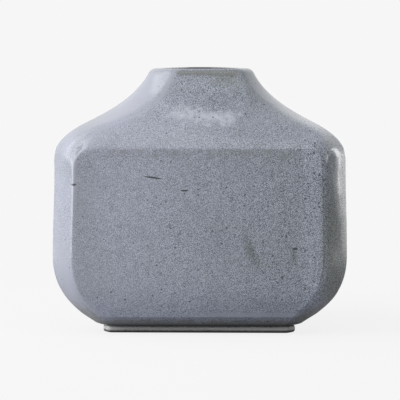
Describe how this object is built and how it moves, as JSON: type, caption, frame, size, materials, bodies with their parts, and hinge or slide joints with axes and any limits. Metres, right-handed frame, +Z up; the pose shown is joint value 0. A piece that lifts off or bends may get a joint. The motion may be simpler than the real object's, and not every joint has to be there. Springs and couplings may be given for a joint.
{
  "type": "vase",
  "caption": "Squat stoneware flower vase with a triangular plan, broad flat faces between narrow rounded corners, an ogee shoulder, a short flared neck and a low set-in base.",
  "frame": {"origin": "on the vase's upright axis, at the underside of the base slab", "axes": "+Z up along the axis through the mouth; the front face looks along -Y; +X to the right of that face"},
  "size_m": [0.1676, 0.1461, 0.15],
  "materials": {
    "speckled_glaze": "satin",
    "bare_stoneware": "matte"
  },
  "bodies": {
    "root": {"base_slab": "bare_stoneware", "front_face_slab": "speckled_glaze", "rear_right_face_slab": "speckled_glaze", "rear_left_face_slab": "speckled_glaze", "front_right_corner_strip": "speckled_glaze", "rear_corner_strip": "speckled_glaze", "front_left_corner_strip": "speckled_glaze", "shoulder_ring": "speckled_glaze", "neck_collar": "speckled_glaze"}
  },
  "joints": []
}
